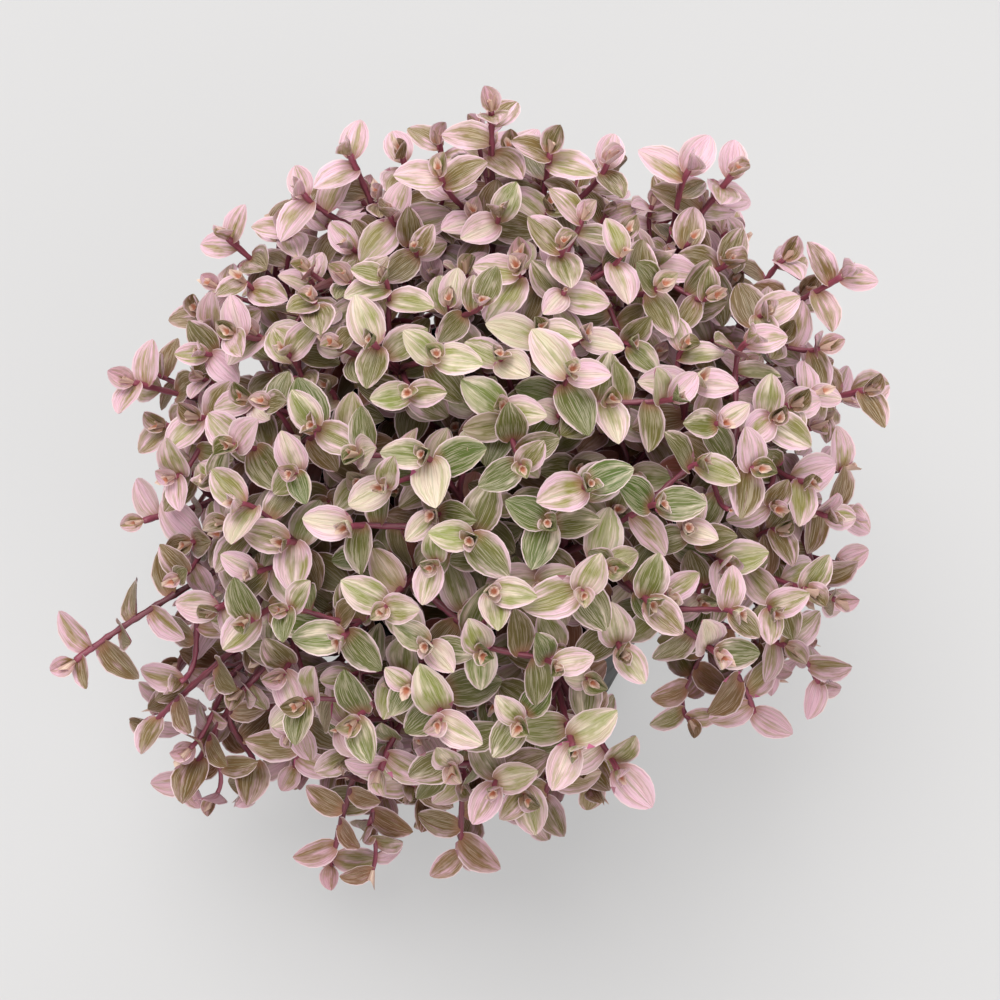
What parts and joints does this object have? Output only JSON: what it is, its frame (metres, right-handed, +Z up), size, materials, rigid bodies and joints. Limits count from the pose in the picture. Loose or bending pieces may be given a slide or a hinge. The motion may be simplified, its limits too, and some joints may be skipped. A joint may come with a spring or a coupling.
{
  "type": "potted turtle vine",
  "caption": "Creeping plant with small ovate leaves, cream and pink with green stripes, in a dense dome of stems over a round black nursery pot.",
  "frame": {"origin": "middle of the pot's underside", "axes": "+Z up along the pot's axis, -Y towards the side that the picture was taken from, +X to the right in the picture"},
  "size_m": [0.1819, 0.1595, 0.149],
  "materials": {
    "pot_plastic": "satin",
    "potting_soil": "matte",
    "foliage": "satin"
  },
  "bodies": {
    "root": {"pot": "pot_plastic", "soil": "potting_soil", "spray_01": "foliage", "spray_02": "foliage", "spray_03": "foliage", "spray_04": "foliage", "spray_05": "foliage", "spray_06": "foliage", "spray_07": "foliage", "spray_08": "foliage", "spray_09": "foliage", "spray_10": "foliage", "spray_11": "foliage", "spray_12": "foliage", "spray_13": "foliage", "spray_14": "foliage", "spray_15": "foliage", "spray_16": "foliage", "spray_17": "foliage", "spray_18": "foliage", "spray_19": "foliage", "spray_20": "foliage", "spray_21": "foliage", "spray_22": "foliage", "spray_23": "foliage", "spray_24": "foliage", "spray_25": "foliage", "spray_26": "foliage", "spray_27": "foliage", "spray_28": "foliage", "spray_29": "foliage", "spray_30": "foliage", "spray_31": "foliage", "spray_32": "foliage", "spray_33": "foliage", "spray_34": "foliage", "spray_35": "foliage", "spray_36": "foliage", "spray_37": "foliage", "spray_38": "foliage", "spray_39": "foliage", "spray_40": "foliage", "spray_41": "foliage", "spray_42": "foliage", "spray_43": "foliage", "spray_44": "foliage", "spray_45": "foliage", "spray_46": "foliage", "spray_47": "foliage", "spray_48": "foliage", "spray_49": "foliage", "spray_50": "foliage", "spray_51": "foliage"}
  },
  "joints": []
}
